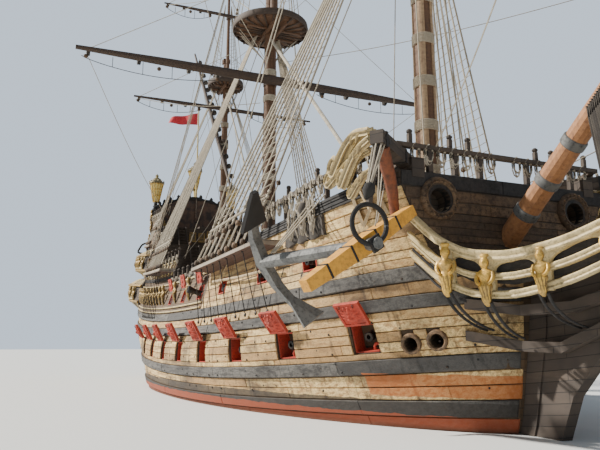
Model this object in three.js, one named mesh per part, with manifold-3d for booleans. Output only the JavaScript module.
// A three-masted wooden galleon afloat, with its yards bare, built at half size.
// Lengths below are metres of the full-size ship, and MM turns one into the model's millimetres.
// +X points to the bow, +Y to port and +Z up. The origin is on the waterline, amidships.
import * as THREE from "three";
import { mergeVertices } from "three/addons/utils/BufferGeometryUtils.js";
import Module from "manifold-3d";

const wasm = await Module();
wasm.setup();

const MM = 500; // model millimetres in one full-size metre
const SEAT = 0.0007; // gap where one piece rests on another
const RUN = 0.0012; // running gap round a mast or a pin
const DEG = Math.PI / 180;

// Solids

// A geometry in metres as a closed solid in millimetres, turned right side out.
function solid(geometry) {
  const bare = geometry.index ? geometry.toNonIndexed() : geometry.clone();
  const points = new THREE.BufferGeometry();
  points.setAttribute("position", bare.getAttribute("position"));
  points.scale(MM, MM, MM);
  const merged = mergeVertices(points, 1e-3);
  const make = (index) =>
    new wasm.Manifold(
      new wasm.Mesh({
        numProp: 3,
        vertProperties: merged.attributes.position.array,
        triVerts: index,
      }),
    );
  const index = new Uint32Array(merged.index.array);
  const made = make(index);
  return made.volume() < 0 ? make(index.reverse()) : made;
}

// A piece cut to the shape of what it rests on, a seat's gap above it.
const seated = (piece, base) =>
  piece.subtract(lifted(base, 0, 0, SEAT)).subtract(lifted(base, -4 * SEAT, 0, SEAT));
const union = (list) => list.reduce((sum, piece) => sum.add(piece));
const mirrored = (piece) => piece.mirror([0, 1, 0]);
const lifted = (piece, dx, dy, dz) => piece.translate([dx * MM, dy * MM, dz * MM]);
const vec = (x, y, z) => new THREE.Vector3(x, y, z);
const lerp = THREE.MathUtils.lerp;

// A solid turned and set in place by a matrix in metres.
function placed(piece, matrix) {
  const e = matrix.elements.slice();
  for (const i of [12, 13, 14]) e[i] *= MM;
  return piece.transform(e);
}

function box(x, y, z, length, width, height) {
  return solid(new THREE.BoxGeometry(length, width, height).translate(x, y, z));
}

// A tapered round spar between two points.
function spar(from, to, startRadius, endRadius, sides = 12) {
  const along = to.clone().sub(from);
  const geometry = new THREE.CylinderGeometry(endRadius, startRadius, along.length(), sides);
  const turn = new THREE.Quaternion().setFromUnitVectors(vec(0, 1, 0), along.clone().normalize());
  geometry.applyQuaternion(turn);
  const middle = from.clone().add(to).multiplyScalar(0.5);
  return solid(geometry.translate(middle.x, middle.y, middle.z));
}

// A spar that tapers to both ends, thickest at a share of its length.
function yardSpar(from, to, radius, tip, thickest = 0.5, sides = 10) {
  const along = to.clone().sub(from);
  const length = along.length();
  const profile = [
    [0, 0],
    [tip, 0],
    [lerp(tip, radius, 0.72), thickest * 0.45],
    [radius, thickest],
    [lerp(tip, radius, 0.72), 1 - (1 - thickest) * 0.45],
    [tip, 1],
    [0, 1],
  ].map(([r, share]) => new THREE.Vector2(r, share * length));
  const turn = new THREE.Quaternion().setFromUnitVectors(vec(0, 1, 0), along.normalize());
  const geometry = new THREE.LatheGeometry(profile, sides).applyQuaternion(turn);
  return solid(geometry.translate(from.x, from.y, from.z));
}

// A solid between two walls of points.
// sections[i] = { left: [...], right: [...] }, each side the same length.
function ribbon(sections) {
  const rows = sections[0].left.length;
  const corners = [];
  const ring = (s) => [...s.left, ...[...s.right].reverse()];
  const quad = (a, b, c, d) => corners.push(a, b, c, a, c, d);
  const rings = sections.map(ring);
  rings.slice(1).forEach((next, i) => {
    const here = rings[i];
    here.forEach((_, j) => {
      const k = (j + 1) % here.length;
      quad(here[j], next[j], next[k], here[k]);
    });
  });
  for (const [end, flip] of [
    [rings[0], false],
    [rings[rings.length - 1], true],
  ]) {
    for (let j = 0; j < rows - 1; j++) {
      const a = end[j];
      const b = end[j + 1];
      const c = end[2 * rows - 2 - j];
      const d = end[2 * rows - 1 - j];
      if (flip) quad(a, d, c, b);
      else quad(a, b, c, d);
    }
  }
  return solid(new THREE.BufferGeometry().setFromPoints(corners));
}

// A flat outline in X and Z, given as [x, z] pairs, as thick across the ship as width.
function plate(outline, width, y = 0) {
  const shape = new THREE.Shape(outline.map(([x, z]) => new THREE.Vector2(x, z)));
  const geometry = new THREE.ExtrudeGeometry(shape, { depth: width, bevelEnabled: false });
  geometry.rotateX(Math.PI / 2).translate(0, y + width / 2, 0);
  return solid(geometry);
}

// A bar of rectangular section along a line of points, its width level and its height upright.
function bar(points, width, height) {
  const sections = points.map((p, i) => {
    const ahead = points[Math.min(i + 1, points.length - 1)];
    const behind = points[Math.max(i - 1, 0)];
    const along = ahead.clone().sub(behind).setZ(0).normalize();
    const side = vec(-along.y, along.x, 0).multiplyScalar(width / 2);
    const up = vec(0, 0, height / 2);
    return {
      left: [p.clone().add(side).sub(up), p.clone().add(side).add(up)],
      right: [p.clone().sub(side).sub(up), p.clone().sub(side).add(up)],
    };
  });
  return ribbon(sections);
}

// Hull form

const MID_X = -1; // the widest section
const BOW_ROUND = 2.1;
const STERN_ROUND = 2.5;
const DECK = 4.9; // upper deck, which is the waist's floor and the beakhead's

// Columns: height, stern end, bow end, half beam, half width at stern end, at bow end, fineness aft, forward.
const FORM = [
  [-4.9, -21.0, 17.2, 0.9, 0.3, 0.3, 1.2, 1.2],
  [-4.4, -21.3, 18.8, 4.2, 0.3, 0.3, 1.3, 1.15],
  [-2.6, -22.1, 21.0, 7.0, 0.3, 0.3, 1.15, 0.95],
  [0.0, -22.9, 22.3, 8.0, 0.4, 0.3, 0.95, 0.75],
  [1.8, -23.5, 22.8, 8.25, 2.8, 0.3, 0.85, 0.62],
  [3.0, -24.0, 23.0, 8.2, 4.6, 0.3, 0.8, 0.55],
  [4.9, -24.8, 23.4, 7.6, 5.6, 0.35, 0.8, 0.42],
  [8.0, -25.7, 23.4, 6.6, 5.4, 0.35, 0.8, 0.17],
  [11.0, -26.6, 23.4, 5.8, 4.9, 0.35, 0.8, 0.15],
  [14.5, -27.5, 23.4, 5.1, 4.4, 0.35, 0.8, 0.15],
];

// The table's row at any height, by a smooth curve through the rows.
function formAt(z) {
  const top = FORM.length - 1;
  let i = FORM.findIndex((row) => row[0] > z) - 1;
  if (i < 0) i = z <= FORM[0][0] ? 0 : top - 1;
  const t = THREE.MathUtils.clamp((z - FORM[i][0]) / (FORM[i + 1][0] - FORM[i][0]), 0, 1);
  const slope = (k, c) => {
    if (k === 0 || k === top) return 0;
    return (FORM[k + 1][c] - FORM[k - 1][c]) / (FORM[k + 1][0] - FORM[k - 1][0]);
  };
  const span = FORM[i + 1][0] - FORM[i][0];
  const value = (c) => {
    const [a, b] = [FORM[i][c], FORM[i + 1][c]];
    const [ma, mb] = [slope(i, c) * span, slope(i + 1, c) * span];
    const [t2, t3] = [t * t, t * t * t];
    return a * (2 * t3 - 3 * t2 + 1) + ma * (t3 - 2 * t2 + t) + b * (3 * t2 - 2 * t3) + mb * (t3 - t2);
  };
  return {
    sternX: value(1),
    bowX: value(2),
    halfBeam: value(3),
    sternHalf: value(4),
    bowHalf: value(5),
    sternFine: value(6),
    bowFine: value(7),
  };
}

function halfBreadth(x, level) {
  const f = formAt(level);
  const forward = x > MID_X;
  const end = forward ? f.bowX : f.sternX;
  const endHalf = forward ? f.bowHalf : f.sternHalf;
  const fine = forward ? f.bowFine : f.sternFine;
  const t = Math.min(1, (x - MID_X) / (end - MID_X));
  const round = forward ? BOW_ROUND : STERN_ROUND;
  return endHalf + (f.halfBeam - endHalf) * Math.pow(1 - Math.pow(t, round), fine);
}

// Decks and wales rise towards both ends, and the bottom doesn't.
const SHEER_X = 4;
const SHEER_FORE = 0.0026;
const SHEER_AFT = 0.0022;
const sheer = (x) => (x - SHEER_X) ** 2 * (x > SHEER_X ? SHEER_FORE : SHEER_AFT);
const liftShare = (level) => THREE.MathUtils.clamp((level + 1) / 2.5, 0, 1);
const heightAt = (x, level) => level + sheer(x) * liftShare(level);

// A point of the hull's starboard skin, pushed outwards by offset.
function skinPoint(x, level, offset = 0) {
  return vec(x, -halfBreadth(x, level) - offset, heightAt(x, level));
}
const toPort = (p) => vec(p.x, -p.y, p.z);

// A decked block of the hull. rows = [[level, offset], ...]; aft and fore give its ends at a level.
function deckedBlock(rows, aft, fore, steps) {
  const sections = steps.map((s) => {
    const left = rows.map(([level, offset]) => {
      const x = lerp(aft(level), fore(level), s);
      return skinPoint(x, level, offset);
    });
    return { left, right: left.map(toPort) };
  });
  return ribbon(sections);
}

// A planked wall on the starboard side of a deck.
function sideWall(rows, aft, fore, steps, thickness) {
  const sections = steps.map((s) => {
    const wall = (level, offset) => skinPoint(lerp(aft(level), fore(level), s), level, offset);
    return {
      left: rows.map(([level, offset]) => wall(level, offset)),
      right: rows.map(([level]) => wall(level, -thickness)),
    };
  });
  return ribbon(sections);
}

const evenSteps = (count) => Array.from({ length: count + 1 }, (_, i) => i / count);
const endSteps = (count) => evenSteps(count).map((s) => (1 - Math.cos(Math.PI * s)) / 2);
const at = (x) => () => x;

// Hull sides, with four wales standing proud

const WALE = 0.11;
// Columns: level, how far it stands out.
const HULL_ROWS = [
  [-4.9, 0],
  [-4.5, 0],
  [-3.7, 0],
  [-2.6, 0],
  [-1.3, 0],
  [0.15, 0],
  [0.15, WALE],
  [0.6, WALE],
  [0.6, 0],
  [1.35, 0],
  [1.35, WALE],
  [1.85, WALE],
  [1.85, 0],
  [2.7, 0],
  [3.5, 0],
  [3.5, WALE],
  [3.95, WALE],
  [3.95, 0],
  [4.4, 0],
  [4.4, WALE],
  [DECK, WALE],
];

const PORT_X = [18.9, 15.0, 11.2, 7.5, 3.8, 0.1, -3.6, -7.3];
const PORT_LEVEL = 2.62;
const PORT_WIDTH = 1.12;
const PORT_HEIGHT = 1.08;
const PORT_DEPTH = 0.75;

// The frame of a place on the starboard skin: x along the ship, y inboard and z up the skin.
function skinFrame(x, level) {
  const step = 0.2;
  const along = skinPoint(x + step, level).sub(skinPoint(x - step, level)).normalize();
  const rise = skinPoint(x, level + step).sub(skinPoint(x, level - step));
  const inward = rise.clone().cross(along).normalize();
  const up = along.clone().cross(inward).normalize();
  const frame = new THREE.Matrix4().makeBasis(along, inward, up);
  return frame.setPosition(skinPoint(x, level));
}

function placedBox(frame, x, y, z, length, width, height) {
  const geometry = new THREE.BoxGeometry(length, width, height).translate(x, y, z);
  return solid(geometry.applyMatrix4(frame));
}

// Port lids, hinged along the port's upper edge and held open

const LID_PLAY = 0.016;
const LID_THICK = 0.1;
const LID_OPEN = 150; // degrees from shut
const HINGE_OUT = 0.075; // the pin's centre, outside the skin
const HINGE_UP = 0.05; // and above the port
const HINGE_RADIUS = 0.04;
const LUG = 0.06;

function lidFrame(x) {
  const frame = skinFrame(x, PORT_LEVEL);
  const pin = new THREE.Matrix4().makeTranslation(0, -HINGE_OUT, PORT_HEIGHT / 2 + HINGE_UP);
  return frame.multiply(pin);
}

// The lid as shut, about its pin: a board in the port, two straps and the pin's barrel.
function lidShut() {
  const length = PORT_WIDTH - 2 * LID_PLAY;
  const height = PORT_HEIGHT - 2 * LID_PLAY;
  const centreZ = -HINGE_UP - PORT_HEIGHT / 2;
  const board = new THREE.BoxGeometry(length, LID_THICK, height).translate(
    0,
    HINGE_OUT + LID_THICK / 2 - 0.03,
    centreZ,
  );
  const barrel = new THREE.CylinderGeometry(HINGE_RADIUS, HINGE_RADIUS, length * 0.86, 8);
  barrel.rotateZ(Math.PI / 2);
  const straps = [-0.3, 0.3].map((along) =>
    new THREE.BoxGeometry(0.09, 0.05, height * 0.8).translate(
      along,
      HINGE_OUT - 0.05,
      -height * 0.4,
    ),
  );
  return union([board, barrel, ...straps].map(solid));
}

function lidPiece(x) {
  const turn = new THREE.Matrix4().makeRotationX(-LID_OPEN * DEG);
  return placed(lidShut(), lidFrame(x).multiply(turn));
}

// Two lugs of the hull that hold the pin's ends.
function lidLugs(x) {
  const frame = lidFrame(x);
  const half = ((PORT_WIDTH - 2 * LID_PLAY) * 0.86) / 2;
  return [-1, 1].map((side) =>
    placedBox(frame, side * (half + LUG / 2 + RUN), 0.06, 0, LUG, 0.22, 0.12),
  );
}

// Hawse pipes in the bow. Columns: x, level.
const HAWSE = [
  [20.5, 2.35],
  [21.25, 2.4],
];
const HAWSE_RADIUS = 0.24;

function placedTube(frame, outer, length, centreY, sides = 14) {
  const geometry = new THREE.CylinderGeometry(outer, outer, length, sides).translate(0, centreY, 0);
  return solid(geometry.applyMatrix4(frame));
}

const CAPSTAN = { x: 2.0, high: 1.25, radius: 0.5 };
const CAPSTAN_STEP = DECK + 0.09; // top of the flat step that it turns on

function hull() {
  const body = deckedBlock(
    HULL_ROWS,
    (level) => formAt(level).sternX,
    (level) => formAt(level).bowX,
    endSteps(26),
  );
  const added = [];
  const cut = [];
  for (const x of PORT_X) {
    const frame = skinFrame(x, PORT_LEVEL);
    cut.push(placedBox(frame, 0, PORT_DEPTH / 2 - 0.2, 0, PORT_WIDTH, PORT_DEPTH + 0.4, PORT_HEIGHT));
    added.push(...lidLugs(x));
  }
  for (const [x, level] of HAWSE) {
    const frame = skinFrame(x, level);
    added.push(placedTube(frame, HAWSE_RADIUS + 0.09, 0.5, 0.1));
    cut.push(placedTube(frame, HAWSE_RADIUS, 1.4, 0.2));
  }
  const both = (list) => union([...list, ...list.map(mirrored)]);
  const step = spar(
    vec(CAPSTAN.x, 0, DECK - 0.1),
    vec(CAPSTAN.x, 0, CAPSTAN_STEP),
    CAPSTAN.radius + 0.1,
    CAPSTAN.radius + 0.1,
    16,
  );
  return body.add(step).add(both(added)).subtract(both(cut));
}

// Keel, stem and sternpost in one curved timber

const POST = 0.56; // breadth across the ship
const KEEL_DEPTH = 0.6;

function keelAndStem() {
  const levels = HULL_ROWS.map(([level]) => level).filter((l, i, all) => all.indexOf(l) === i);
  const bow = levels.map((l) => [formAt(l).bowX + SEAT, heightAt(formAt(l).bowX, l)]);
  const stern = levels
    .filter((l) => l <= 1.85)
    .map((l) => [formAt(l).sternX - SEAT, heightAt(formAt(l).sternX, l)]);
  const [bowTop, sternTop] = [bow[bow.length - 1], stern[stern.length - 1]];
  const keelTop = -4.9 - SEAT;
  bow[0] = [bow[0][0], keelTop];
  stern[0] = [stern[0][0], keelTop];
  const stemFace = [
    [bowTop[0] + 0.55, bowTop[1] + 0.25],
    [23.7, 3.4],
    [23.0, 0.4],
    [21.9, -2.4],
    [20.2, -4.5],
    [18.2, -5.3],
    [16.6, -4.9 - KEEL_DEPTH],
  ];
  const sternFace = [
    [-21.8, -4.9 - KEEL_DEPTH],
    [sternTop[0] - 0.62, sternTop[1]],
  ];
  return plate(
    [...bow, [bowTop[0], bowTop[1] + 0.25], ...stemFace, ...sternFace, ...stern.reverse()],
    POST,
  );
}

// Rudder, hung on the raked sternpost

const RUDDER_GAP = 0.1; // from the post to the hinge line
const RUDDER_BACK = 0.05; // from the hinge line to the blade
const POST_FOOT = [-21.8, -5.5];
const POST_HEAD = [
  formAt(1.85).sternX - SEAT - 0.62,
  heightAt(formAt(1.85).sternX, 1.85),
];
const POST_TILT = (POST_HEAD[0] - POST_FOOT[0]) / (POST_HEAD[1] - POST_FOOT[1]);
const RUDDER_AXIS = vec(POST_TILT, 0, 1).normalize();
const postX = (z) => POST_FOOT[0] + POST_TILT * (z - POST_FOOT[1]);

function rudder() {
  const front = (z) => postX(z) - RUDDER_GAP - RUDDER_BACK;
  const blade = plate(
    [
      [front(-5.3), -5.3],
      [front(-5.3) - 2.3, -5.3],
      [front(-1.5) - 1.9, -1.5],
      [front(1.2) - 1.2, 1.2],
      [front(4.6) - 0.75, 4.6],
      [front(4.6), 4.6],
    ],
    0.36,
  );
  const pintles = [-4.4, -2.0, 0.4, 2.6].map((z) => {
    const centre = vec(postX(z) - RUDDER_GAP, 0, z);
    const half = RUDDER_AXIS.clone().multiplyScalar(0.16);
    const radius = RUDDER_GAP * RUDDER_AXIS.z - RUN / 2;
    return spar(centre.clone().sub(half), centre.clone().add(half), radius, radius, 24);
  });
  return union([blade, ...pintles]);
}

// Upper works

const FORECASTLE_AFT = 11;
const FORECASTLE_FORE = 22.0;
const FORECASTLE_DECK = 8.0;
const QUARTER_FORE = -5;
const QUARTER_DECK = 7.9;
const POOP_FORE = -13;
const POOP_DECK = 10.7;
const ROUNDHOUSE_FORE = -20;
const ROUNDHOUSE_DECK = 12.9;
const BAND = 0.07; // a moulding's stand-out
const SINK = 0.05; // how far a storey is drawn into the deck that it is then cut to
const sternEnd = (level) => formAt(level).sternX;

// Rows of a planked storey with one moulding below its deck.
function storeyRows(low, high) {
  return [
    [low, 0],
    [high - 0.5, 0],
    [high - 0.5, BAND],
    [high - 0.25, BAND],
    [high - 0.25, 0],
    [high, 0],
  ];
}

// Shelves that hold the shrouds clear of the side. Columns: fore end, aft end, level, reach.
const CHANNELS = {
  forecastle: [14.75, FORECASTLE_AFT, 7.02, 1.05],
  waist: [FORECASTLE_AFT - 2 * SEAT, 5.85, 7.02, 1.05],
  quarterdeck: [-5.1, -12.9, 8.05, 1.0],
  poop: [-16.6, -19.8, 10.75, 0.85],
};
const CHANNEL_THICK = 0.14;
const CHANNEL_ROOT = 0.15; // how far it is let into the side

function channel([fore, aft, level, reach]) {
  const half = vec(0, 0, CHANNEL_THICK / 2);
  const board = (p) => [p.clone().sub(half), p.clone().add(half)];
  const sections = evenSteps(4).map((s) => {
    const x = lerp(aft, fore, s);
    return {
      left: board(skinPoint(x, level, reach)),
      right: board(skinPoint(x, level, -CHANNEL_ROOT)),
    };
  });
  return ribbon(sections);
}

const UPPER_PORT = { width: 0.95, height: 0.85, level: 5.9 };
const CHASE_PORT = { y: 3.1, z: 7.95, radius: 0.43, rim: 0.2 };

function portCut(x, depth) {
  const frame = skinFrame(x, UPPER_PORT.level);
  return placedBox(frame, 0, depth / 2 - 0.2, 0, UPPER_PORT.width, depth + 0.4, UPPER_PORT.height);
}

function bothSides(list) {
  return union([...list, ...list.map(mirrored)]);
}

function forecastle() {
  const body = deckedBlock(
    storeyRows(DECK - SINK, FORECASTLE_DECK),
    at(FORECASTLE_AFT),
    at(FORECASTLE_FORE),
    evenSteps(9).map((s) => 1 - (1 - s) ** 1.5),
  );
  const ports = [13.2, 16.9].map((x) => portCut(x, 0.6));
  const round = (radius, back, ahead) =>
    spar(
      vec(FORECASTLE_FORE - back, -CHASE_PORT.y, CHASE_PORT.z),
      vec(FORECASTLE_FORE + ahead, -CHASE_PORT.y, CHASE_PORT.z),
      radius,
      radius,
      16,
    );
  const rim = round(CHASE_PORT.radius + CHASE_PORT.rim, 0.1, 0.14);
  const added = bothSides([rim, channel(CHANNELS.forecastle)]);
  return body.add(added).subtract(bothSides([...ports, round(CHASE_PORT.radius, 0.6, 0.4)]));
}

const FORECASTLE_RAIL = 9.05;

// An open rail round the forecastle: posts under one timber.
function forecastleRail() {
  const inset = 0.22;
  const rimPoint = (x, level) => skinPoint(x, level, -inset);
  const xs = [11.2, 12.9, 14.6, 16.3, 18.0, 19.7, 21.0];
  const front = [-3.3, -2.2, -1.1].map((y) => [FORECASTLE_FORE - 0.16, y]);
  const posts = [];
  const post = (x, y) => {
    const foot = heightAt(x, FORECASTLE_DECK) - SINK;
    const head = heightAt(x, FORECASTLE_RAIL);
    posts.push(box(x, y, (foot + head) / 2, 0.18, 0.18, head - foot));
  };
  xs.forEach((x) => post(x, rimPoint(x, FORECASTLE_DECK).y));
  front.forEach(([x, y]) => post(x, y));
  const side = [...xs, 21.8].map((x) => {
    const p = rimPoint(x, FORECASTLE_DECK);
    return vec(p.x, p.y, heightAt(x, FORECASTLE_RAIL));
  });
  const across = vec(21.84, 0, heightAt(21.84, FORECASTLE_RAIL));
  const corner = side[side.length - 1];
  const sideRail = bar(side, 0.26, 0.16);
  const frontRail = bar([vec(across.x, corner.y - 0.13, across.z), across.clone().setY(0.01)], 0.26, 0.16);
  return bothSides([...posts, sideRail, frontRail]);
}

const WALL = 0.28;
const WAIST_RAIL = 7.3;
const WAIST_PORT_X = [8.6, 4.9, 1.2, -2.5];

function waistBulwark() {
  const wall = sideWall(
    [
      [DECK - SINK, 0],
      [WAIST_RAIL - 0.3, 0],
      [WAIST_RAIL - 0.3, BAND],
      [WAIST_RAIL, BAND],
    ],
    at(QUARTER_FORE + SEAT),
    at(FORECASTLE_AFT - SEAT),
    evenSteps(8),
    WALL,
  );
  const pierced = wall.subtract(union(WAIST_PORT_X.map((x) => portCut(x, 0.7))));
  return pierced.add(channel(CHANNELS.waist));
}

// One storey of the sterncastle, with its bulwarks along the open deck on top.
// Columns: deck below, own deck, front, where its bulwark ends aft, the bulwark's height.
const STOREYS = {
  quarterdeck: [DECK, QUARTER_DECK, QUARTER_FORE, at(POOP_FORE + SEAT), 1.15],
  poop: [QUARTER_DECK, POOP_DECK, POOP_FORE, at(ROUNDHOUSE_FORE + SEAT), 1.15],
  roundhouse: [POOP_DECK, ROUNDHOUSE_DECK, ROUNDHOUSE_FORE, sternEnd, 1.25],
};

// grow makes it that much larger, to cut a neighbour to it.
function sternStorey([low, high, fore, wallAft, wallHigh], grow = 0) {
  const out = (rows) => rows.map(([level, offset]) => [level, offset + grow]);
  const aft = (end) => (level) => end(level) - grow;
  const block = deckedBlock(out(storeyRows(low - SINK, high)), aft(sternEnd), at(fore), evenSteps(9));
  const wallTop = high + wallHigh;
  const wallRows = [
    [high - 0.1, 0],
    [wallTop - 0.2, 0],
    [wallTop - 0.2, BAND],
    [wallTop, BAND],
  ];
  const wall = sideWall(out(wallRows), aft(wallAft), at(fore), evenSteps(5), WALL + grow);
  return block.add(bothSides([wall]));
}

// Closed galleries that wrap round the stern from quarter to quarter

const GALLERY_FORE = -19.5;
const GALLERY_BACK = 0.12; // how far its inner wall is drawn into the storey that it is cut to
// Stations along the side. Columns: share of the way aft, share of the gallery's width there.
const GALLERY_SIDE = [
  [0, 0.25],
  [0.34, 0.9],
  [0.67, 1],
  [1, 1],
];

// Columns of rows: level, how far it stands out.
function gallery(rows, width) {
  const station = (pointAt, [outX, outY], share) => {
    const push = (level, offset) => {
      const p = pointAt(level);
      return vec(p.x + outX * offset, p.y + outY * offset, p.z);
    };
    return {
      left: rows.map(([level, offset]) => push(level, SEAT + offset * share * width)),
      right: rows.map(([level]) => push(level, -GALLERY_BACK)),
    };
  };
  const side = (hand) =>
    GALLERY_SIDE.map(([s, share]) => {
      const pointAt = (level) => {
        const p = skinPoint(lerp(GALLERY_FORE, sternEnd(level), s), level);
        return hand < 0 ? p : toPort(p);
      };
      return station(pointAt, [s === 1 ? -1 : 0, hand], share);
    });
  const across = [-0.6, 0, 0.6].map((share) => {
    const pointAt = (level) => {
      const corner = skinPoint(sternEnd(level), level);
      return vec(corner.x, -corner.y * share, corner.z);
    };
    return station(pointAt, [-1, 0], share === 0 ? 1.25 : 1.125);
  });
  return ribbon([...side(-1), ...across, ...side(1).reverse()]);
}

const lowerGallery = () =>
  gallery(
    [
      [5.0, 0.1],
      [5.6, 0.9],
      [5.75, 1.0],
      [7.0, 1.0],
      [7.1, 1.15],
      [7.25, 0.95],
      [7.5, 0.6],
      [7.7, 0.2],
    ],
    1.05,
  );
const upperGallery = () =>
  gallery(
    [
      [8.1, 0.15],
      [8.5, 0.9],
      [8.65, 1.0],
      [9.9, 1.0],
      [10.0, 1.15],
      [10.12, 0.95],
      [10.35, 0.6],
      [10.5, 0.2],
    ],
    0.8,
  );

// Tafferel, the carved board that closes the stern, with the three lanterns it carries

const TAFFEREL_X = -27.4;
const TAFFEREL_THICK = 0.8;
const TAFFEREL_FOOT = 14.9;
// Starboard half of the outline: distance from the centreline, height.
const TAFFEREL_EDGE = [
  [4.3, TAFFEREL_FOOT],
  [4.62, 16.1],
  [4.3, 16.9],
  [4.45, 17.5],
  [3.7, 17.6],
  [3.0, 18.1],
  [1.8, 18.55],
  [0.9, 18.75],
];
const LANTERN_HIGH = 2.0;
const STAFF = { foot: vec(-26.97, 0, 16.2), head: vec(-26.97, 0, 29.3), radius: 0.12, tip: 0.07 };
const FLAG = { low: 27.3, high: 1.4, long: 3.9, thick: 0.1, heading: 232 * DEG };

const staff = (grow = 0) => spar(STAFF.foot, STAFF.head, STAFF.radius + grow, STAFF.tip + grow, 8);

// The flag streams aft and to starboard from its staff.
function flag() {
  const cloth = new THREE.BoxGeometry(FLAG.long, FLAG.thick, FLAG.high);
  cloth.translate(FLAG.long / 2, 0, 0).rotateZ(FLAG.heading);
  cloth.translate(STAFF.head.x, 0, FLAG.low + FLAG.high / 2);
  return solid(cloth).subtract(staff(SEAT));
}

// A six-sided lantern that widens upwards, under a pointed cap.
function lantern(x, y, z) {
  const profile = [
    [0, 0],
    [0.2, 0],
    [0.3, 0.25],
    [0.66, LANTERN_HIGH],
    [0.76, LANTERN_HIGH + 0.06],
    [0.76, LANTERN_HIGH + 0.16],
    [0.3, LANTERN_HIGH + 0.55],
    [0.1, LANTERN_HIGH + 0.7],
    [0, LANTERN_HIGH + 1.15],
  ].map(([r, h]) => new THREE.Vector2(r, h));
  const body = new THREE.LatheGeometry(profile, 6).rotateX(Math.PI / 2).translate(x, y, z);
  return solid(body);
}

function tafferel() {
  const edge = [...TAFFEREL_EDGE, ...[...TAFFEREL_EDGE].reverse().map(([y, z]) => [-y, z])];
  const shape = new THREE.Shape(edge.map(([y, z]) => new THREE.Vector2(y, z)));
  const geometry = new THREE.ExtrudeGeometry(shape, { depth: TAFFEREL_THICK, bevelEnabled: false });
  geometry.rotateX(Math.PI / 2).rotateZ(Math.PI / 2).translate(TAFFEREL_X - TAFFEREL_THICK / 2, 0, 0);
  const board = solid(geometry);
  const lanterns = [];
  // Columns: y, height of the lantern's foot, how far its arm reaches aft.
  for (const [y, z, reach] of [
    [-4.2, 18.15, 0.35],
    [0, 20.0, 0.5],
    [4.2, 18.15, 0.35],
  ]) {
    const root = vec(TAFFEREL_X, y * 0.97, y === 0 ? 18.4 : 17.0);
    lanterns.push(spar(root, vec(TAFFEREL_X - reach, y, z + 0.1), 0.13, 0.11, 8));
    lanterns.push(lantern(TAFFEREL_X - reach, y, z));
  }
  const storey = sternStorey(STOREYS.roundhouse, SEAT);
  const cleared = union([board, staff(), ...lanterns]).subtract(storey).subtract(lifted(storey, 0, 0, -SEAT));
  return seated(cleared, storey);
}

// Head of the ship

const BEAK_THICK = 0.44;

function beak() {
  return plate(
    [
      [22.0, -1.6],
      [23.3, 3.4],
      [23.5, 5.3],
      [27.2, 5.5],
      [29.6, 6.3],
      [31.4, 7.5],
      [32.2, 8.4],
      [32.6, 8.2],
      [32.2, 7.3],
      [30.6, 5.6],
      [28.0, 4.1],
      [26.0, 2.9],
      [24.6, 1.4],
      [23.9, -0.2],
    ],
    BEAK_THICK,
  );
}

// Curved timbers that steady the beak against the bows. Columns: x, distance from the centreline, height.
const CHEEKS = [
  [
    [22.4, 2.5, 4.35],
    [23.6, 1.15, 4.1],
    [25.2, 0.48, 4.15],
    [27.6, 0.3, 4.75],
  ],
  [
    [22.2, 2.35, 3.3],
    [23.4, 1.0, 2.95],
    [24.6, 0.46, 2.9],
    [26.3, 0.3, 3.55],
  ],
];
const CHEEK = { width: 0.4, height: 0.34 };

function cheeks() {
  return CHEEKS.map((route) =>
    bar(
      route.map(([x, y, z]) => vec(x, -y, z)),
      CHEEK.width,
      CHEEK.height,
    ),
  );
}

const HEAD_FLOOR = 5.32;

// The floor of the beakhead, which narrows to the knee's tip.
function headPlatform() {
  // Columns: x, half width, height of the underside above HEAD_FLOOR.
  const rows = [
    [24.0, 2.4, -0.03],
    [26.5, 1.65, 0.12],
    [28.2, 1.1, 0.48],
    [29.8, 0.6, 1.02],
  ];
  return ribbon(
    rows.map(([x, half, rise]) => ({
      left: [vec(x, -half, HEAD_FLOOR + rise), vec(x, -half, HEAD_FLOOR + rise + 0.14)],
      right: [vec(x, half, HEAD_FLOOR + rise), vec(x, half, HEAD_FLOOR + rise + 0.14)],
    })),
  );
}

// Route of the starboard head rails. Columns: x, distance from the centreline, height.
const HEAD_ROUTE = [
  [21.9, 4.35, 7.45],
  [23.0, 3.95, 6.35],
  [23.8, 3.35, 5.8],
  [25.0, 2.75, 5.62],
  [26.6, 2.15, 5.85],
  [28.4, 1.5, 6.5],
  [30.2, 0.9, 7.4],
  [31.6, 0.45, 8.2],
];
// Columns: drop below the top rail at the bulkhead, drop at the beak's tip, width, height.
const HEAD_RAILS = [
  [0, 0, 0.3, 0.26],
  [0.75, 0.45, 0.2, 0.16],
  [1.4, 0.85, 0.22, 0.18],
];
const HEAD_POSTS = [23.26, 24.35, 25.97, 27.8]; // distance forward of each post

// Where the top rail runs at a distance forward: the point, and its share of the route.
function headPoint(x) {
  const i = HEAD_ROUTE.findIndex(([ahead]) => ahead > x) - 1;
  const [a, b] = [HEAD_ROUTE[i], HEAD_ROUTE[i + 1]];
  const t = (x - a[0]) / (b[0] - a[0]);
  return { y: lerp(a[1], b[1], t), z: lerp(a[2], b[2], t), share: (i + t) / (HEAD_ROUTE.length - 1) };
}

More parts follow.
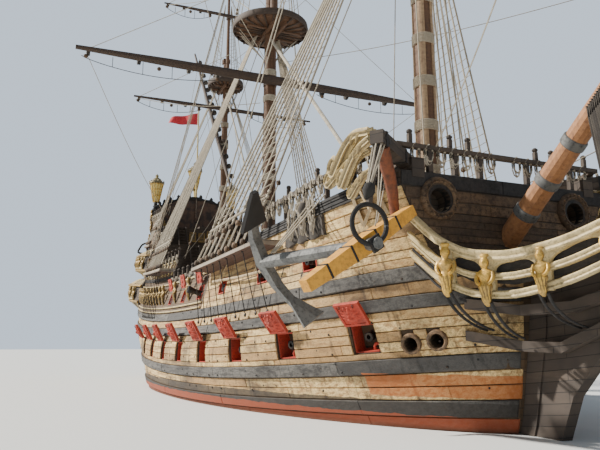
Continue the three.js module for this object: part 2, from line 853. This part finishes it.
function headRails() {
  const last = HEAD_ROUTE.length - 1;
  const rails = HEAD_RAILS.map(([dropAft, dropFore, width, height]) =>
    bar(
      HEAD_ROUTE.map(([x, y, z], i) => {
        const drop = lerp(dropAft, dropFore, i / last);
        return vec(x, -y + lerp(0.12 * dropAft, 0, i / last), z - drop);
      }),
      width,
      height,
    ),
  );
  const posts = HEAD_POSTS.map((x) => {
    const { y, z, share } = headPoint(x);
    const foot = lerp(HEAD_RAILS[2][0], HEAD_RAILS[2][1], share) + 0.12;
    return spar(vec(x, -y + 0.17, z - foot), vec(x, -y, z), 0.16, 0.24, 8);
  });
  const tip = HEAD_ROUTE[last];
  const side = BEAK_THICK / 2 + SEAT;
  const toe = box(tip[0] - 0.05, -side - 0.14, tip[2] - 0.42, 0.5, 0.28, 1.15);
  return union([...rails, ...posts, toe]);
}

// A crouching lion at the tip of the beak: body, chest, head, paws.
function figurehead() {
  const rump = vec(31.9, 0, 8.95);
  const chest = vec(33.0, 0, 10.1);
  const head = vec(33.45, 0, 10.85);
  const lump = (p, r) =>
    solid(new THREE.SphereGeometry(r, 10, 7).translate(p.x, p.y, p.z));
  const paws = [-0.28, 0.28].map((y) =>
    spar(vec(32.9, y, 9.8), vec(33.5, y, 9.25), 0.19, 0.15, 8),
  );
  const seat = solid(
    new THREE.BoxGeometry(0.9, 0.4, 0.9).rotateY(-0.75).translate(31.98, 0, 8.62),
  );
  return union([
    spar(rump, chest, 0.46, 0.5, 10),
    lump(rump, 0.5),
    lump(chest, 0.52),
    lump(head, 0.48),
    ...paws,
    seat,
  ]);
}

const BOWSPRIT = { foot: vec(22.2, 0, 7.05), rise: 39 * DEG, length: 17.6, radius: 0.42, sides: 14 };
const bowspritAt = (distance, below = 0) =>
  vec(
    BOWSPRIT.foot.x + distance * Math.cos(BOWSPRIT.rise) + below * Math.sin(BOWSPRIT.rise),
    0,
    BOWSPRIT.foot.z + distance * Math.sin(BOWSPRIT.rise) - below * Math.cos(BOWSPRIT.rise),
  );

function bowspritSpar(grow = 0) {
  return spar(
    bowspritAt(-0.5),
    bowspritAt(BOWSPRIT.length),
    BOWSPRIT.radius + grow,
    BOWSPRIT.radius * 0.55 + grow,
    BOWSPRIT.sides,
  );
}

// Masts

// Columns: name, x, level of the deck it stands on, radius, top's height, head's height, top's radius,
// topmast's radius, topmast head's height.
const MASTS = {
  fore: {
    x: 17.0, deck: FORECASTLE_DECK, radius: 0.47, top: 26.8, head: 30.8,
    topRadius: 2.6, upper: 0.29, upperHead: 44.5,
  },
  main: {
    x: -3.7, deck: DECK, radius: 0.5, top: 27.4, head: 31.8,
    topRadius: 2.9, upper: 0.32, upperHead: 47.5,
  },
  mizzen: {
    x: -16.2, deck: POOP_DECK, radius: 0.33, top: 27.6, head: 30.4,
    topRadius: 1.65, upper: 0.2, upperHead: 39.5,
  },
};
const HEAD_TAPER = 0.78;
const MAST_SIDES = 14;

const mastFoot = (m) => heightAt(m.x, m.deck) - 0.04;

function mastRadius(m, z) {
  return lerp(m.radius, m.radius * HEAD_TAPER, (z - mastFoot(m)) / (m.head - mastFoot(m)));
}

function upperMastX(m) {
  return m.x + m.radius * HEAD_TAPER + m.upper + 0.06;
}

function lowerMast(m) {
  const trunk = spar(
    vec(m.x, 0, mastFoot(m)),
    vec(m.x, 0, m.head),
    m.radius,
    m.radius * HEAD_TAPER,
    MAST_SIDES,
  );
  const platform = new THREE.LatheGeometry(
    [
      [0, -0.14],
      [m.topRadius * 0.86, -0.14],
      [m.topRadius, 0.14],
      [m.topRadius, 0.42],
      [m.topRadius - 0.14, 0.42],
      [m.topRadius - 0.14, 0.06],
      [0, 0.06],
    ].map(([r, h]) => new THREE.Vector2(r, h)),
    20,
  );
  platform.rotateX(Math.PI / 2).translate(m.x, 0, m.top);
  const reach = m.topRadius * 1.5;
  const trees = [
    box(m.x, -0.5 * m.radius - 0.2, m.top - 0.27, reach, 0.2, 0.3),
    box(m.x, 0.5 * m.radius + 0.2, m.top - 0.27, reach, 0.2, 0.3),
    box(m.x - m.radius - 0.1, 0, m.top - 0.2, 0.2, reach, 0.2),
    box(m.x + m.radius + 0.3, 0, m.top - 0.2, 0.2, reach, 0.2),
  ];
  const capFront = upperMastX(m) - m.upper - SEAT * 3;
  const capBack = m.x - m.radius;
  const cap = box((capBack + capFront) / 2, 0, m.head - 0.2, capFront - capBack, m.radius * 2, 0.4);
  return union([trunk, solid(platform), ...trees, cap]);
}

function upperMast(m) {
  const x = upperMastX(m);
  const foot = m.top + 0.06 + SEAT;
  const pole = spar(vec(x, 0, foot), vec(x, 0, m.upperHead), m.upper, m.upper * 0.5, 12);
  const trees = box(x, 0, m.upperHead * 0.86 + foot * 0.14, 0.9, 1.3, 0.14);
  const truck = spar(
    vec(x, 0, m.upperHead - 0.02),
    vec(x, 0, m.upperHead + 0.14),
    m.upper * 0.9,
    m.upper * 0.9,
    12,
  );
  return union([pole, trees, truck]);
}

function upperRadius(m, z) {
  const foot = m.top + 0.06 + SEAT;
  return lerp(m.upper, m.upper * 0.5, (z - foot) / (m.upperHead - foot));
}

// Yards, each turning round its mast on a ring

// Columns: name, mast, on the topmast or not, height, half length, radius.
const YARDS = [
  ["fore_yard", "fore", false, 22.3, 13.0, 0.33],
  ["fore_topsail_yard", "fore", true, 35.5, 7.6, 0.21],
  ["main_yard", "main", false, 22.9, 14.4, 0.36],
  ["main_topsail_yard", "main", true, 36.8, 8.4, 0.23],
  ["crossjack_yard", "mizzen", false, 25.1, 8.7, 0.2],
  ["mizzen_topsail_yard", "mizzen", true, 34.6, 6.4, 0.16],
];
const YARD_TIP = 0.42; // a tip's share of the radius at the middle
const YARD_TURN = 30;
const RING_HIGH = 0.3;
const RING_THICK = 0.09;

// A ring round a mast of MAST_SIDES flats, so that the flats' corners clear it all round.
function parrel(x, z, radius, sides) {
  const inner = (radius + RUN) / Math.cos(Math.PI / sides);
  const profile = [
    [inner, -RING_HIGH / 2],
    [inner + RING_THICK, -RING_HIGH / 2],
    [inner + RING_THICK, RING_HIGH / 2],
    [inner, RING_HIGH / 2],
    [inner, -RING_HIGH / 2],
  ].map(([r, h]) => new THREE.Vector2(r, h));
  const ring = new THREE.LatheGeometry(profile, sides).rotateX(Math.PI / 2).translate(x, 0, z);
  return solid(ring);
}

function yard([, mastName, onUpper, z, half, radius]) {
  const m = MASTS[mastName];
  const mastX = onUpper ? upperMastX(m) : m.x;
  const low = z - RING_HIGH / 2;
  const around = onUpper ? upperRadius(m, low) : mastRadius(m, low);
  const x = mastX + around + RING_THICK + radius + 0.02;
  const beam = yardSpar(vec(x, -half, z), vec(x, half, z), radius, radius * YARD_TIP);
  const saddle = box(x - radius, 0, z, radius * 1.2, 0.3, 0.26);
  return union([beam, saddle, parrel(mastX, z, around, 16)]).subtract(
    parrelBore(mastX, z, around, 16),
  );
}

// The bore kept clear for the mast inside a yard's ring.
function parrelBore(x, z, radius, sides) {
  const inner = (radius + RUN) / Math.cos(Math.PI / sides);
  return solid(
    new THREE.CylinderGeometry(inner, inner, 1.5, sides).rotateX(Math.PI / 2).translate(x, 0, z),
  );
}

// The mizzen's slanting yard, slung on the starboard side
const LATEEN = { low: vec(-11.7, 0, 16.4), high: vec(-27.2, 0, 35.8), radius: 0.2 };

function lateenYard() {
  const m = MASTS.mizzen;
  const share = (LATEEN.low.x - m.x) / (LATEEN.low.x - LATEEN.high.x);
  const slingZ = lerp(LATEEN.low.z, LATEEN.high.z, share);
  const around = mastRadius(m, slingZ - RING_HIGH / 2);
  const y = -(around + RING_THICK + LATEEN.radius + 0.02);
  const [low, high] = [LATEEN.low, LATEEN.high].map((tip) => tip.clone().setY(y));
  const beam = yardSpar(low, high, LATEEN.radius, LATEEN.radius * 0.5, share);
  const saddle = box(m.x, y + LATEEN.radius, slingZ, 0.3, LATEEN.radius * 1.2, 0.26);
  return union([beam, saddle, parrel(m.x, slingZ, around, 16)]).subtract(
    parrelBore(m.x, slingZ, around, 16),
  );
}

const SPRIT_YARD = { distance: 10.6, half: 6.6, radius: 0.17 };

function spritsailYard() {
  const pivotRadius = 0.16;
  const share = (SPRIT_YARD.distance - pivotRadius + 0.5) / (BOWSPRIT.length + 0.5);
  const flat = Math.cos(Math.PI / BOWSPRIT.sides);
  const under = lerp(BOWSPRIT.radius, BOWSPRIT.radius * 0.55, share) * flat + RUN;
  const pad = 0.12;
  const centre = bowspritAt(SPRIT_YARD.distance, under + pad + SPRIT_YARD.radius * 0.8);
  const [left, right] = [-1, 1].map((side) => centre.clone().setY(side * SPRIT_YARD.half));
  const beam = yardSpar(left, right, SPRIT_YARD.radius, SPRIT_YARD.radius * YARD_TIP);
  const pivot = spar(bowspritAt(SPRIT_YARD.distance, under), centre, pivotRadius, pivotRadius, 10);
  return union([beam, pivot]);
}

// The main stays, cut to what they are made fast to

function stay(from, to, radius, fittings) {
  return fittings.reduce((rope, piece) => rope.subtract(piece), spar(from, to, radius, radius, 8));
}

const STAYS = {
  fore: { from: vec(17.2, 0, 26.1), to: bowspritAt(9.2), radius: 0.1 },
  main: { from: vec(-3.5, 0, 26.6), to: vec(15.0, 0, 7.9), radius: 0.12 },
  mizzen: { from: vec(-16.0, 0, 26.9), to: vec(-3.8, 0, 9.6), radius: 0.08 },
};

function grownMast(m) {
  const headRadius = m.radius * HEAD_TAPER + SEAT;
  return spar(vec(m.x, 0, mastFoot(m)), vec(m.x, 0, m.head), m.radius + SEAT, headRadius, MAST_SIDES);
}

// Anchors, catted at the bow

const ANCHOR = {
  eye: vec(23.81, -6.69, 5.95),
  shank: 6.1,
  arm: 2.5,
  bend: 1.35,
  stockHalf: 2.55,
  stockAt: 0.6,
};
const ANCHOR_HEADING = 13.5 * DEG; // the crown swings out along the bow
const ANCHOR_RISE = 0.01;
const ANCHOR_ROLL = -32 * DEG;

// Anchor's own frame: x from eye to crown, y along the stock, z along the arms.
function anchorFrame() {
  const along = vec(-Math.cos(ANCHOR_HEADING), -Math.sin(ANCHOR_HEADING), ANCHOR_RISE).normalize();
  const out = vec(along.y, -along.x, 0).normalize().negate();
  const up = along.clone().cross(out).normalize();
  const turned = new THREE.Matrix4().makeBasis(along, out, up);
  turned.multiply(new THREE.Matrix4().makeRotationX(ANCHOR_ROLL));
  return turned.setPosition(ANCHOR.eye);
}

function anchorShank(grow) {
  const size = 0.3 + grow * 2;
  return new THREE.CylinderGeometry(size * 0.62, size * 0.8, ANCHOR.shank, 8)
    .rotateY(Math.PI / 8)
    .rotateZ(Math.PI / 2)
    .translate(ANCHOR.shank / 2 - 0.14, 0, 0)
    .applyMatrix4(anchorFrame());
}

// The ring hangs from the tackle, upright and nearly square to the shank.
const RING = { radius: 0.6, tube: 0.07, lean: 20 * DEG, heading: 3 * DEG };

function ringFrame() {
  const left = vec(Math.sin(RING.heading), -Math.cos(RING.heading), 0);
  const up = vec(0, 0, 1);
  const frame = new THREE.Matrix4().makeBasis(left, up, left.clone().cross(up));
  const toCentre = left.clone().multiplyScalar(Math.sin(RING.lean)).addScaledVector(up, Math.cos(RING.lean));
  return frame.setPosition(ANCHOR.eye.clone().addScaledVector(toCentre, RING.radius));
}

function anchorRing(grow = 0) {
  return solid(new THREE.TorusGeometry(RING.radius, RING.tube + grow, 8, 20).applyMatrix4(ringFrame()));
}

// Both arms as one crescent, with a flat palm across each near its end.
function anchorIron() {
  const crown = ANCHOR.shank;
  const shares = [-1, -0.72, -0.4, 0, 0.4, 0.72, 1];
  const arc = (thick) =>
    shares.map((s) => [crown - ANCHOR.bend * s * s + thick * (1.08 - Math.abs(s)), ANCHOR.arm * s]);
  const crescent = plate([...arc(0.24), ...arc(-0.24).reverse()], 0.34);
  const palm = (side) => {
    const outline = [
      [0.66, -0.52],
      [0.66, 0.52],
      [-0.72, 0.09],
      [-0.72, -0.09],
    ].map(([along, across]) => new THREE.Vector2(along, across));
    const shape = new THREE.Shape(outline);
    const geometry = new THREE.ExtrudeGeometry(shape, { depth: 0.12, bevelEnabled: false });
    geometry.translate(0, 0, -0.06).rotateY((side > 0 ? 50 : 130) * DEG);
    return geometry.translate(crown - 0.98, 0, side * ANCHOR.arm * 0.8);
  };
  const flat = union([crescent, solid(palm(1)), solid(palm(-1))]);
  return union([placed(flat, anchorFrame()), solid(anchorShank(0)), anchorRing()]);
}

// The wooden stock, square in section and thickest at the shank.
const STOCK = { middle: 0.4, end: 0.26 };

function anchorStock() {
  const half = ANCHOR.stockHalf;
  const profile = [
    [0, -half],
    [STOCK.end, -half],
    [STOCK.middle, 0],
    [STOCK.end, half],
    [0, half],
  ].map(([r, along]) => new THREE.Vector2(r, along));
  const beam = new THREE.LatheGeometry(profile, 4).rotateY(45 * DEG).translate(ANCHOR.stockAt, 0, 0);
  return solid(beam.applyMatrix4(anchorFrame())).subtract(solid(anchorShank(SEAT)));
}

const CATHEAD = { root: vec(20.6, -2.9, 9.3), tip: vec(23.5, -6.4, 9.4), size: 0.44 };
// The curved knee under it, down the corner of the forecastle.
const CATHEAD_KNEE = [
  vec(23.1, -5.95, 9.25),
  vec(22.65, -5.45, 8.4),
  vec(22.25, -5.05, 7.6),
  vec(22.12, -4.85, 6.8),
];

// The beam that holds the anchor off the bow, with the tackle down to the ring.
function cathead(deckBlock) {
  const along = CATHEAD.tip.clone().sub(CATHEAD.root);
  const beam = new THREE.BoxGeometry(along.length(), CATHEAD.size, CATHEAD.size);
  const turn = new THREE.Quaternion().setFromUnitVectors(vec(1, 0, 0), along.normalize());
  beam.applyQuaternion(turn);
  const middle = CATHEAD.root.clone().add(CATHEAD.tip).multiplyScalar(0.5);
  beam.translate(middle.x, middle.y, middle.z);
  const foot = vec(0, RING.radius + 0.02, 0).applyMatrix4(ringFrame());
  const fall = spar(foot, CATHEAD.tip.clone().add(vec(-0.15, 0.15, 0)), 0.1, 0.1, 8);
  const knee = CATHEAD_KNEE.slice(1).map((to, i) =>
    spar(CATHEAD_KNEE[i], to, 0.2 - 0.03 * i, 0.17 - 0.03 * i, 8),
  );
  const seat = box(middle.x - 0.6, middle.y + 0.7, 9.05, 1.3, 0.5, 0.7);
  const whole = union([solid(beam), fall, seat, ...knee]);
  return whole.subtract(deckBlock).subtract(anchorRing(2 * SEAT));
}

// Capstan in the waist

function capstan() {
  const foot = CAPSTAN_STEP + RUN;
  const profile = [
    [0, 0],
    [CAPSTAN.radius, 0],
    [CAPSTAN.radius, 0.14],
    [0.34, 0.22],
    [0.3, 0.85],
    [0.56, 0.92],
    [0.56, CAPSTAN.high],
    [0, CAPSTAN.high],
  ].map(([r, h]) => new THREE.Vector2(r, h));
  return solid(new THREE.LatheGeometry(profile, 12).rotateX(Math.PI / 2).translate(CAPSTAN.x, 0, foot));
}

// The assembled ship

const COLOURS = {
  oak: [0xa8895c, 0.85, 0],
  dark: [0x3a3532, 0.8, 0],
  red: [0xa0342a, 0.75, 0],
  bunting: [0xb02030, 0.9, 0],
  gold: [0xc7a64a, 0.55, 0.2],
  spar: [0x6b4a33, 0.75, 0],
  iron: [0x4a4c4f, 0.6, 0.7],
  stock: [0xc98f2f, 0.7, 0],
  rope: [0x9a8d78, 0.95, 0],
};
const paints = {};
for (const [name, [color, roughness, metalness]] of Object.entries(COLOURS)) {
  paints[name] = new THREE.MeshStandardMaterial({ name, color, roughness, metalness });
}

const ship = new THREE.Group();
ship.name = "galleon";
ship.userData.hinges = [];

const GRID = 0.01; // millimetres that a finished corner is rounded to

function node(name, piece, paint) {
  const mesh = piece.getMesh();
  const positions = mesh.vertProperties.map((v) => Math.round(v / GRID) * GRID);
  const rounded = new THREE.BufferGeometry();
  rounded.setAttribute("position", new THREE.BufferAttribute(positions, mesh.numProp));
  rounded.setIndex(new THREE.BufferAttribute(mesh.triVerts, 1));
  const geometry = mergeVertices(rounded, GRID / 4);
  const faces = Array.from(geometry.index.array);
  const kept = faces.filter((_, i) => {
    const [a, b, c] = faces.slice(i - (i % 3), i - (i % 3) + 3);
    return a !== b && b !== c && c !== a;
  });
  geometry.setIndex(kept);
  geometry.computeVertexNormals();
  const made = new THREE.Mesh(geometry, paints[paint]);
  made.name = name;
  made.userData.paint = paint;
  ship.add(made);
}

function pair(name, piece, paint) {
  node(name + "_starboard", piece, paint);
  node(name + "_port", mirrored(piece), paint);
}

function hinge(name, at, axis, low, high) {
  ship.userData.hinges.push({ name, at: at.toArray(), axis: axis.toArray(), low, high });
}

const hullBody = hull();
const stem = keelAndStem();
const storeyWith = (name, shelf) => sternStorey(STOREYS[name]).add(bothSides([channel(shelf)]));
const quarterdeck = seated(storeyWith("quarterdeck", CHANNELS.quarterdeck), hullBody);
const poop = seated(storeyWith("poop", CHANNELS.poop), quarterdeck);
const forecastleBlock = seated(forecastle(), hullBody);

node("hull", hullBody, "oak");
node("keel_and_stem", stem, "dark");
node("rudder", rudder(), "dark");
hinge("rudder", vec(postX(0) - RUDDER_GAP, 0, 0), RUDDER_AXIS, -35, 35);
node("forecastle", forecastleBlock, "oak");
node("forecastle_rail", seated(forecastleRail(), forecastleBlock), "dark");
pair("waist_bulwark", seated(waistBulwark(), hullBody), "oak");
node("quarterdeck_house", quarterdeck, "oak");
node("poop_house", poop, "oak");
node("roundhouse", seated(sternStorey(STOREYS.roundhouse), poop), "oak");
// A gallery cut to the storey that it hangs on.
const hungOn = (piece, storey) =>
  [-SEAT, 0, SEAT].reduce((rest, dz) => rest.subtract(lifted(storey, 0, 0, dz)), piece);
node("lower_stern_gallery", hungOn(lowerGallery(), sternStorey(STOREYS.quarterdeck, SEAT)), "gold");
node("upper_stern_gallery", hungOn(upperGallery(), sternStorey(STOREYS.poop, SEAT)), "gold");
node("tafferel_and_lanterns", tafferel(), "gold");
node("flag", flag(), "bunting");

const headTimbers = beak().add(bothSides(cheeks()));
const beakSolid = headTimbers
  .subtract(lifted(stem, SEAT, 0, 0))
  .subtract(stem)
  .subtract(lifted(hullBody, SEAT, 0, SEAT))
  .subtract(lifted(hullBody, SEAT, 0, -SEAT));
node("beak", beakSolid, "dark");
node("head_platform", seated(headPlatform(), beakSolid), "dark");
pair("head_rails", headRails().subtract(lifted(forecastleBlock, SEAT, 0, 0)), "gold");
node("figurehead", seated(figurehead(), beakSolid), "gold");
node("bowsprit", bowspritSpar().subtract(lifted(forecastleBlock, SEAT, 0, 0)), "spar");

const MAST_STEP = { fore: forecastleBlock, main: hullBody, mizzen: poop };
for (const [name, mast] of Object.entries(MASTS)) {
  node(name + "mast", seated(lowerMast(mast), MAST_STEP[name]), "spar");
  node(name + "_topmast", upperMast(mast), "spar");
}
for (const row of YARDS) {
  const mast = MASTS[row[1]];
  node(row[0], yard(row), "spar");
  const x = row[2] ? upperMastX(mast) : mast.x;
  hinge(row[0], vec(x, 0, row[3]), vec(0, 0, 1), -YARD_TURN, YARD_TURN);
}
node("lateen_yard", lateenYard(), "spar");
hinge("lateen_yard", vec(MASTS.mizzen.x, 0, 22), vec(0, 0, 1), -20, 20);
node("spritsail_yard", spritsailYard(), "spar");
hinge(
  "spritsail_yard",
  bowspritAt(SPRIT_YARD.distance),
  vec(-Math.sin(BOWSPRIT.rise), 0, Math.cos(BOWSPRIT.rise)),
  -YARD_TURN,
  YARD_TURN,
);

node(
  "forestay",
  stay(STAYS.fore.from, STAYS.fore.to, STAYS.fore.radius, [grownMast(MASTS.fore), bowspritSpar(SEAT)]),
  "rope",
);
node(
  "mainstay",
  stay(STAYS.main.from, STAYS.main.to, STAYS.main.radius, [
    grownMast(MASTS.main),
    lifted(forecastleBlock, 0, 0, SEAT),
  ]),
  "rope",
);
node(
  "mizzen_stay",
  stay(STAYS.mizzen.from, STAYS.mizzen.to, STAYS.mizzen.radius, [
    grownMast(MASTS.mizzen),
    grownMast(MASTS.main),
  ]),
  "rope",
);

pair("anchor", anchorIron(), "iron");
pair("anchor_stock", anchorStock(), "stock");
pair("cathead", cathead(lifted(forecastleBlock, 0, 0, SEAT)), "stock");
node("capstan", capstan(), "spar");
hinge("capstan", vec(CAPSTAN.x, 0, DECK), vec(0, 0, 1), 0, 360);

PORT_X.forEach((x, i) => {
  const lid = lidPiece(x);
  const frame = lidFrame(x);
  const pin = vec(0, 0, 0).setFromMatrixPosition(frame);
  const axis = vec(0, 0, 0).setFromMatrixColumn(frame, 0);
  node(`port_lid_starboard_${i + 1}`, lid, "red");
  hinge(`port_lid_starboard_${i + 1}`, pin, axis, 0, LID_OPEN);
  node(`port_lid_port_${i + 1}`, mirrored(lid), "red");
  hinge(`port_lid_port_${i + 1}`, toPort(pin), toPort(axis).negate(), 0, LID_OPEN);
});

export default ship;
